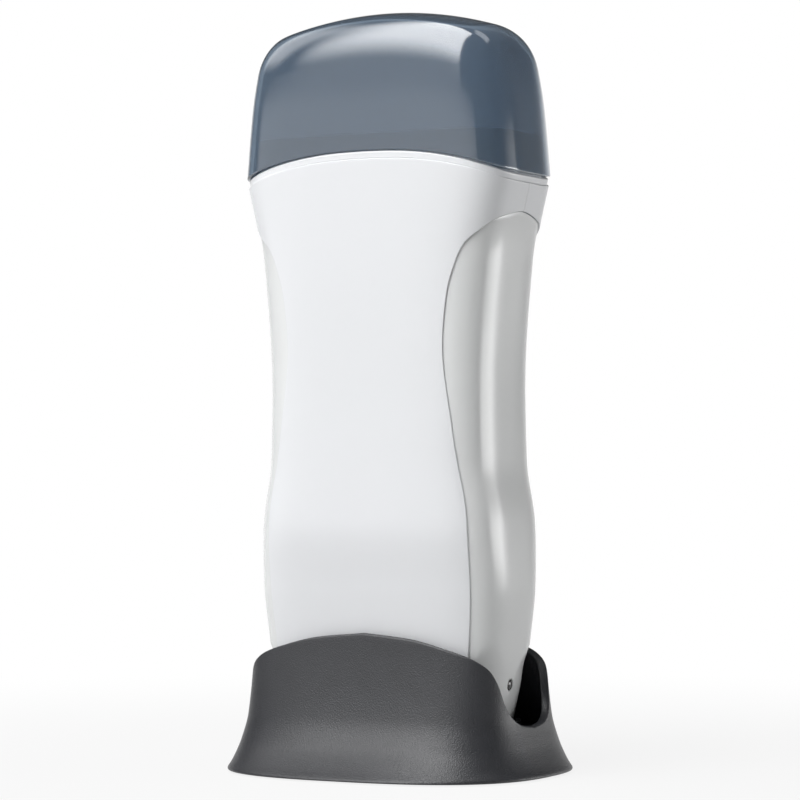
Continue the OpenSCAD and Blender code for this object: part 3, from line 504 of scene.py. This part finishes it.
def makeShell(name, rear, stands):
    m, p = shellMesh, panelForm
    foot = bodyForm["sections"][0][0]

    def low(u, v):
        z = foot + (p["archZ"] - foot) * v
        s = 2 * u - 1
        return bodyPoint(toward(math.copysign(along(p["groove"], z) * crowd(abs(s)), s)), z)

    def high(spot, v):
        start = along(p["arch"], abs(spot)) if abs(spot) > p["archPlace"] else p["archZ"]
        d = toward(spot)
        end = seamAt(bodyPoint(d, seamForm["z"])[0]) - seamForm["bandHeight"] - m["hairline"]
        return bodyPoint(d, start + (end - start) * v)

    def highMiddle(u, v):
        s = 2 * u - 1
        return high(math.copysign(p["archPlace"] * crowd(abs(s)), s), v)

    def highSide(hand):
        return lambda u, v: high(hand * (2 - (2 - p["archPlace"]) * crowd(1 - u)), v)

    def parting(edge):
        return all(abs(v.co.y) < m["partingWithin"] * mm for v in edge.verts)

    bm = bmesh.new()
    addGrid(bm, m["lowColumns"], m["lowRows"], low)
    addGrid(bm, m["lowColumns"], m["highRows"], highMiddle)
    addGrid(bm, m["archColumns"], m["highRows"], highSide(1))
    addGrid(bm, m["archColumns"], m["highRows"], highSide(-1))
    weld(bm)
    thicken(bm, bodyForm["middleZ"], m["wall"])
    breakEdges(bm, m["lip"], m["lipSteps"], lambda edge: not parting(edge))
    breakEdges(bm, m["partingLip"], m["partingSteps"], parting)
    if rear:
        flip(bm, 1, -1)
    finishPiece(bm, name, "heater", "polishedAbs", stands)


makeShell("front_casing", False, ["front_shell"])
makeShell("rear_casing", True, ["rear_shell"])


# side inlays

inlayMesh = {
    "columns": 56, "lowRows": 96, "archRows": 22, "wall": 1.5, "lip": 0.6,
    "fanZ": 141.8,  # from here up the rows fan out to meet the arch
}
# the pilot light's hole, from and to these distances off the middle
pilotHole = {"height": 27.6, "radius": 1.75, "from": 34, "to": 44, "sides": 48}


def drillHole(piece):
    f = pilotHole
    bm = bmesh.new()
    middle = Vector(((f["from"] + f["to"]) / 2, 0, f["height"])) * mm
    bmesh.ops.create_cone(
        bm, cap_ends=True, segments=f["sides"], radius1=f["radius"] * mm, radius2=f["radius"] * mm,
        depth=(f["to"] - f["from"]) * mm,
        matrix=Matrix.Translation(middle) @ Matrix.Rotation(math.pi / 2, 4, "Y"),
    )
    drill = addObject("drill", bm)
    cut = piece.modifiers.new("pilotHole", "BOOLEAN")
    cut.object, cut.operation, cut.solver = drill, "DIFFERENCE", "EXACT"
    cutMesh = bpy.data.meshes.new_from_object(piece.evaluated_get(bpy.context.evaluated_depsgraph_get()))
    piece.modifiers.clear()
    piece.data = cutMesh
    bpy.data.objects.remove(drill)
    print("drilled", piece.name)


def makeInlay(name, left, stands):
    m, p = inlayMesh, panelForm
    foot = bodyForm["sections"][0][0]

    def edge(z):
        return along(p["groove"], z) + p["gap"] / along(bodyForm["sections"], z, 2)

    def spot(z, s):
        return 2 - (2 - edge(z)) * crowd(abs(s))

    def onBody(spotZ, z, s):
        x, y = toward(spot(spotZ, s))
        return bodyPoint((x, y if s < 0 else -y), z, p["inset"])

    def low(u, v):
        z = foot + (m["fanZ"] - foot) * v
        return onBody(z, z, 2 * u - 1)

    def fan(u, v):
        s = 2 * u - 1
        shift = edge(p["archZ"]) - p["archPlace"]
        top = along(p["arch"], spot(p["archZ"], s) - shift) - p["gap"]
        spotZ = m["fanZ"] + (p["archZ"] - m["fanZ"]) * v
        return onBody(spotZ, m["fanZ"] + (top - m["fanZ"]) * v, s)

    bm = bmesh.new()
    addGrid(bm, m["columns"], m["lowRows"], low)
    addGrid(bm, m["columns"], m["archRows"], fan)
    weld(bm)
    thicken(bm, bodyForm["middleZ"], m["wall"])
    breakEdges(bm, m["lip"])
    if left:
        flip(bm, -1, 1)
    return finishPiece(bm, name, "heater", "satinAbs", stands)


drillHole(makeInlay("side_inlay_right", False, ["side_panel_right"]))
makeInlay("side_inlay_left", True, ["side_panel_left"])


# pilot light's lens: a barrel with a low dome

lensForm = {
    "radius": 1.65, "dome": 0.6, "rings": 24, "sides": 48, "sharp": 50,
    "proud": 0.5,  # share of the dome's height that stands past the CAD lens
    "barrelFrom": 0.05, "barrelOver": 0.5,  # behind this depth, rings wider than this take the full radius
}


def makeLens():
    f = lensForm
    low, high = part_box("led_lens")
    face = high[0] / mm - f["dome"] * f["proud"]
    bm = bmesh.new()
    bmesh.ops.create_uvsphere(bm, u_segments=f["sides"], v_segments=f["rings"], radius=1)
    for vert in bm.verts:
        out, side, up = vert.co.z, vert.co.x, vert.co.y
        ring = math.hypot(side, up)
        if out < 0:  # the back half becomes the barrel
            out = out * (face - low[0] / mm) / f["dome"]
            if out < -f["barrelFrom"] and ring > f["barrelOver"]:
                side, up = side / ring, up / ring
        x, y, z = face + out * f["dome"], side * f["radius"], pilotHole["height"] + up * f["radius"]
        vert.co = Vector((x, y, z)) * mm
    bmesh.ops.recalc_face_normals(bm, faces=bm.faces[:])
    finishPiece(bm, "pilot_lens", "heater", "smokedAcrylic", ["led_lens"], f["sharp"])


makeLens()


# collar

collarMesh = {
    "columns": 256, "neckIn": 2.35, "neckWall": 2, "neckTop": 196, "deckUnder": 190.1, "deck": 2, "sharp": 35,
    # the band's lower edge, its face from how far under the seam and how high, and its rounded top
    "bandChamfer": 0.15, "bandUnder": 1.85, "bandRise": 1.2, "bandSteps": 4, "round": 0.5, "roundSteps": 6,
    # the neck's foot, its rounded top, its inner edge, and the corner between its bore and the deck
    "neckFoot": 0.3, "neckSteps": 4, "boreChamfer": 0.2, "deckCorner": 0.4, "underCorner": 0.25,
}
# the deck's opening over the cartridge
mouthForm = {"halfWidth": 26.8, "halfDepth": 14.8, "radius": 6.8}


def mouthPoint(d, z):
    # a rounded rectangle
    f = mouthForm
    q = Vector((f["halfWidth"] * d[0], f["halfDepth"] * d[1]))
    w, h = f["halfWidth"] - f["radius"], f["halfDepth"] - f["radius"]
    c = Vector((math.copysign(min(abs(q.x), w), q.x), math.copysign(min(abs(q.y), h), q.y)))
    p = c + (q - c).normalized() * f["radius"]
    return p.x, p.y, z


def makeCollar():
    m = collarMesh
    inset, r, bore = panelForm["inset"], m["round"], m["neckIn"] + m["neckWall"]
    neckTop, under, deckTop = m["neckTop"], m["deckUnder"], m["deckUnder"] + m["deck"]

    def seam(d):
        return seamAt(bodyPoint(d, seamForm["z"])[0])

    def bandFoot(d):
        return seam(d) - seamForm["bandHeight"]

    section = [
        lambda d: bodyPoint(d, bandFoot(d), inset + m["bandChamfer"]),
        lambda d: bodyPoint(d, bandFoot(d) + m["bandChamfer"], inset),
    ]
    for k in range(m["bandSteps"] + 1):
        rise = m["bandRise"] * k / m["bandSteps"]
        section.append(lambda d, rise=rise: bodyPoint(d, seam(d) - m["bandUnder"] + rise, inset))
    for k in range(1, m["roundSteps"] + 1):
        drop, inner = quarter(k, m["roundSteps"])
        section.append(lambda d, drop=drop, inner=inner: bodyPoint(d, seam(d) - r * drop, inset + r * inner))
    section += [
        lambda d: capPoint(d, seam(d), m["neckIn"] - m["neckFoot"]),
        lambda d: capPoint(d, seam(d) + m["neckFoot"], m["neckIn"]),
        lambda d: capPoint(d, (seam(d) + neckTop) / 2, m["neckIn"]),
    ]
    for k in range(m["neckSteps"] + 1):
        drop, inner = quarter(k, m["neckSteps"])
        section.append(lambda d, z=neckTop - r * drop, within=m["neckIn"] + r * inner: capPoint(d, z, within))
    section += [
        lambda d: capPoint(d, neckTop, bore - m["boreChamfer"]),
        lambda d: capPoint(d, neckTop - m["boreChamfer"], bore),
        lambda d: capPoint(d, deckTop + m["deckCorner"], bore),
        lambda d: capPoint(d, deckTop, bore + m["deckCorner"]),
        lambda d: mouthPoint(d, deckTop),
        lambda d: mouthPoint(d, under),
        lambda d: capPoint(d, under, bore + m["underCorner"]),
        lambda d: bodyPoint(d, bandFoot(d), bore),
    ]
    count = len(section)
    bm = bmesh.new()
    addGrid(bm, m["columns"], count, lambda u, v: section[round(v * count) % count](turned(u)))
    weld(bm)
    finishPiece(bm, "collar_ring", "heater", "polishedAbs", ["collar"], m["sharp"])


makeCollar()


# cap

capMesh = {
    "cuts": 63, "edgeRings": 14, "rimRound": 0.3,
    # the rounded edge: how far it comes down the wall, and how far it runs in over the dome
    "frontEdge": (12, 5.2), "sideEdge": (5.2, 5.2), "handle": 0.6,
    # places where the front's soft edge ends and the sides' tight one begins
    "softTo": 0.8, "tightFrom": 1.9,
    "near": 1e-4,  # what counts as touching, in the cube of side 2 that the cap is shaped from
}


def makeCap():
    f, m = capForm, capMesh
    half = (m["cuts"] + 1) / 2  # rings from the dome's middle to the top of the wall
    top = f["sections"][-1][0]

    def wallAt(d, z):
        p = Vector(capPoint(d, min(z, top)))
        return p if z <= top else p + (p - Vector(capPoint(d, top - 1))) * (z - top)

    def edgeCurve(d):
        # start on the wall, two handles, end on the dome
        t = min(max((placeOf(d) - m["softTo"]) / (m["tightFrom"] - m["softTo"]), 0), 1)
        down, over = [a + (b - a) * t * t * (3 - 2 * t) for a, b in zip(m["frontEdge"], m["sideEdge"])]
        x, y = capPoint(d, top, over)[:2]
        end = Vector((x, y, domeAt(x, y)))
        slope = Vector((
            -2 * f["domeDrop"] * x / f["domeReach"] ** 2, -2 * f["crownDrop"] * y / f["crownReach"] ** 2,
        ))
        out = wallAt(d, end.z).xy - end.xy
        corner = wallAt(d, end.z + slope.dot(out))
        handle = Vector((out.x, out.y, slope.dot(out))) * m["handle"]
        return wallAt(d, corner.z - down), wallAt(d, corner.z - down * (1 - m["handle"])), end + handle, end

    def lay(co):
        d = Vector((co.x, co.y))
        ring = max(abs(d.x), abs(d.y))
        if ring < m["near"]:
            return 0, 0, domeAt(0, 0)
        d = d / ring
        start, up, over, end = edgeCurve(d)
        if co.z < 1 - m["near"]:  # side wall
            low = seamAt(capPoint(d, seamForm["z"])[0]) + f["gap"]
            return capPoint(d, low + (co.z + 1) / 2 * (start.z - low))
        step = round(ring * half)
        fromEdge = half - step
        if fromEdge <= m["edgeRings"]:  # rounded edge
            t = fromEdge / m["edgeRings"]
            return start * (1 - t) ** 3 + up * 3 * t * (1 - t) ** 2 + over * 3 * t * t * (1 - t) + end * t**3
        share = step / (half - m["edgeRings"])
        x, y = end.x * share, end.y * share
        return x, y, domeAt(x, y)

    bm = bmesh.new()
    bmesh.ops.create_cube(bm, size=2)
    bmesh.ops.subdivide_edges(bm, edges=bm.edges[:], cuts=m["cuts"], use_grid_fill=True)
    underside = [face for face in bm.faces if face.calc_center_median().z < -1 + m["near"]]
    bmesh.ops.delete(bm, geom=underside, context="FACES")
    for vert in bm.verts:
        vert.co = Vector(lay(vert.co)) * mm
    thicken(bm, f["middleZ"], f["wall"])
    breakEdges(bm, m["rimRound"])
    finishPiece(bm, "cap_cover", "cap", "tintedSan", ["cap"])


makeCap()


# studio

white = hexColour("#ffffff")
studio = {
    "floorSize": 14, "floorColour": "#b6b6b6",
    # the floor glows white for the camera: this share near the object, all of it from farM outwards
    "nearShare": 0.86, "nearM": 0.1, "farM": 0.45,
    # the room's dim light, and the low white backdrop behind the object: its azimuth, and its soft ends and
    # soft top, as cosines and sines
    "ambient": 0.06, "backdrop": 1.0, "backdropAzimuth": 205, "backdropFrom": 0.6, "backdropTo": 0.88,
    "backdropTop": (0.14, 0.3),
    "aimZ": 0.12,  # the lamps point at this height in m
    # at: azimuth, elevation, distance in m; size: width, height in m; bright: its cloth's glow;
    # fade: the shares of the cloth over which the glow comes in from its left, right, lower and upper edge
    "lamps": {
        "frontSoftbox": {
            "at": (-29, 6, 1.8), "size": (3.1, 0.9), "bright": 1.15, "fade": (0.15, 0.04, 0.28, 0.3),
        },
        "keySoftbox": {
            "at": (-22, 50, 1.8), "size": (1.25, 2.7), "bright": 7.1, "fade": (0.3, 0.04, 0.42, 0.03),
        },
        "leftSoftbox": {
            "at": (-72, 42, 1.8), "size": (1.6, 1.4), "bright": 2.2, "fade": (0.3, 0.3, 0.35, 0.3),
        },
        "rearTopSoftbox": {
            "at": (112, 65, 1.8), "size": (0.63, 0.96), "bright": 1.8, "fade": (0.2, 0.2, 0.2, 0.2),
        },
        "sideSoftbox": {
            "at": (130, 0, 1.8), "size": (1.44, 1.0), "bright": 6.2, "fade": (0.05, 0.14, 0.02, 0.5),
        },
    },
}


def clearRay(tree):
    # Light Path, and its share for the camera and for what is seen through clear plastic
    ray = addNode(tree, "ShaderNodeLightPath")
    clear = addNode(tree, "ShaderNodeMath", {
        0: ray.outputs["Is Camera Ray"], 1: ray.outputs["Is Transmission Ray"],
    }, operation="MAXIMUM")
    return ray, clear.outputs[0]


def makeFloor():
    # matt grey board that keeps the object's shadow, and shows white to the camera, gloss and clear plastic
    material = bpy.data.materials.new("mattBoard")
    material.use_nodes = True
    tree = material.node_tree
    tree.nodes.clear()
    spot = addNode(tree, "ShaderNodeTexCoord")
    away = addNode(tree, "ShaderNodeVectorMath", {0: spot.outputs["Object"]}, operation="LENGTH")
    share = addNode(tree, "ShaderNodeMapRange", {
        "Value": away.outputs["Value"], "From Min": studio["nearM"], "From Max": studio["farM"],
        "To Min": studio["nearShare"], "To Max": 1.0,
    }, interpolation_type="SMOOTHSTEP")
    ray, clear = clearRay(tree)
    seen = addNode(tree, "ShaderNodeMath", {0: clear, 1: ray.outputs["Is Glossy Ray"]}, operation="MAXIMUM")
    glowing = addNode(tree, "ShaderNodeMath", {0: seen.outputs[0], 1: share.outputs[0]}, operation="MULTIPLY")
    paint = addNode(tree, "ShaderNodeBsdfDiffuse", {"Color": hexColour(studio["floorColour"])})
    glow = addNode(tree, "ShaderNodeEmission", {"Color": white, "Strength": 1})
    both = addNode(tree, "ShaderNodeMixShader", {
        0: glowing.outputs[0], 1: paint.outputs[0], 2: glow.outputs[0],
    })
    addNode(tree, "ShaderNodeOutputMaterial", {"Surface": both.outputs[0]})
    bm = bmesh.new()
    bmesh.ops.create_grid(bm, x_segments=1, y_segments=1, size=studio["floorSize"] / 2)
    floor = addObject("studioFloor", bm, material)


def makeWorld():
    # white for the camera and for what is seen through clear plastic, a white backdrop behind the object
    # for gloss, and a dim room for everything else
    world = bpy.data.worlds.new("studioRoom")
    bpy.context.scene.world = world
    world.use_nodes = True
    tree = world.node_tree
    tree.nodes.clear()
    spot = addNode(tree, "ShaderNodeTexCoord")
    turn = math.radians(studio["backdropAzimuth"])
    behind = addNode(tree, "ShaderNodeVectorMath", {
        0: spot.outputs["Generated"], 1: (math.sin(turn), -math.cos(turn), 0),
    }, operation="DOT_PRODUCT")
    share = addNode(tree, "ShaderNodeMapRange", {
        "Value": behind.outputs["Value"],
        "From Min": studio["backdropFrom"], "From Max": studio["backdropTo"],
    }, interpolation_type="SMOOTHSTEP")
    rise = addNode(tree, "ShaderNodeSeparateXYZ", {"Vector": spot.outputs["Generated"]})
    topFrom, topTo = studio["backdropTop"]
    below = addNode(tree, "ShaderNodeMapRange", {
        "Value": rise.outputs["Z"], "From Min": topTo, "From Max": topFrom,
    }, interpolation_type="SMOOTHSTEP")
    screen = addNode(tree, "ShaderNodeMath", {0: share.outputs[0], 1: below.outputs[0]}, operation="MULTIPLY")
    ray, clear = clearRay(tree)
    gloss = addNode(tree, "ShaderNodeMath", {
        0: ray.outputs["Is Glossy Ray"], 1: screen.outputs[0],
    }, operation="MULTIPLY")
    seen = addNode(tree, "ShaderNodeMath", {0: gloss.outputs[0], 1: clear}, operation="MAXIMUM")
    room = addNode(tree, "ShaderNodeBackground", {"Color": white, "Strength": studio["ambient"]})
    backdrop = addNode(tree, "ShaderNodeBackground", {"Color": white, "Strength": studio["backdrop"]})
    both = addNode(tree, "ShaderNodeMixShader", {
        0: seen.outputs[0], 1: room.outputs[0], 2: backdrop.outputs[0],
    })
    addNode(tree, "ShaderNodeOutputWorld", {"Surface": both.outputs[0]})


def onSphere(azimuth, elevation, distance, centre):
    a, e = math.radians(azimuth), math.radians(elevation)
    away = Vector((math.sin(a) * math.cos(e), -math.cos(a) * math.cos(e), math.sin(e)))
    return Vector(centre) + away * distance


def aimed(obj, target, roll=0):
    look = (Vector(target) - obj.location).to_track_quat("-Z", "Y").to_matrix()
    obj.rotation_euler = (look @ Matrix.Rotation(math.radians(roll), 3, "Z")).to_euler()


def fadeCloth(lamp, fade):
    # a softbox glows less towards its edges
    lamp.use_nodes = True
    tree = lamp.node_tree
    tree.nodes.clear()
    spot = addNode(tree, "ShaderNodeTexCoord")
    across = addNode(tree, "ShaderNodeSeparateXYZ", {"Vector": spot.outputs["UV"]})
    glow = 1.0
    for axis, edge, share in (("X", 0, fade[0]), ("X", 1, fade[1]), ("Y", 0, fade[2]), ("Y", 1, fade[3])):
        step = addNode(tree, "ShaderNodeMapRange", {
            "Value": across.outputs[axis], "From Min": edge, "From Max": share if edge == 0 else 1 - share,
        }, interpolation_type="SMOOTHSTEP")
        glow = addNode(tree, "ShaderNodeMath", {0: step.outputs[0], 1: glow}, operation="MULTIPLY").outputs[0]
    cloth = addNode(tree, "ShaderNodeEmission", {"Strength": glow})
    addNode(tree, "ShaderNodeOutputLight", {"Surface": cloth.outputs[0]})


def makeLamps():
    centre = (0, 0, studio["aimZ"])
    for name, box in studio["lamps"].items():
        lamp = bpy.data.lights.new(name, "AREA")
        lamp.shape = "RECTANGLE"
        lamp.size, lamp.size_y = box["size"]
        lamp.energy = box["bright"] * math.pi * lamp.size * lamp.size_y
        fadeCloth(lamp, box["fade"])
        obj = bpy.data.objects.new(name, lamp)
        bpy.context.scene.collection.objects.link(obj)
        obj.location = onSphere(*box["at"], centre)
        aimed(obj, centre)
        obj.visible_camera = False
        obj.visible_transmission = False


# camera fitted to the photograph's outline: angles in degrees, lengths in m, lens and sensor in mm
cameraForm = {
    "azimuth": 27.5, "elevation": -1.28, "roll": -0.17, "distance": 0.932, "pivotZ": 0.1175,
    "lens": 134.8, "sensor": 36, "shift": (0.0016, -0.0105), "farClip": 50,
}


def makeCamera():
    f = cameraForm
    data = bpy.data.cameras.new("photoCamera")
    data.lens, data.sensor_width = f["lens"], f["sensor"]
    data.shift_x, data.shift_y = f["shift"]
    data.clip_end = f["farClip"]
    camera = bpy.data.objects.new("photoCamera", data)
    bpy.context.scene.collection.objects.link(camera)
    pivot = (0, 0, f["pivotZ"])
    camera.location = onSphere(f["azimuth"], f["elevation"], f["distance"], pivot)
    aimed(camera, pivot, f["roll"])
    bpy.context.scene.camera = camera


makeFloor()
makeWorld()
makeLamps()
makeCamera()
bpy.context.scene.view_settings.view_transform = "Standard"
print("studio set")
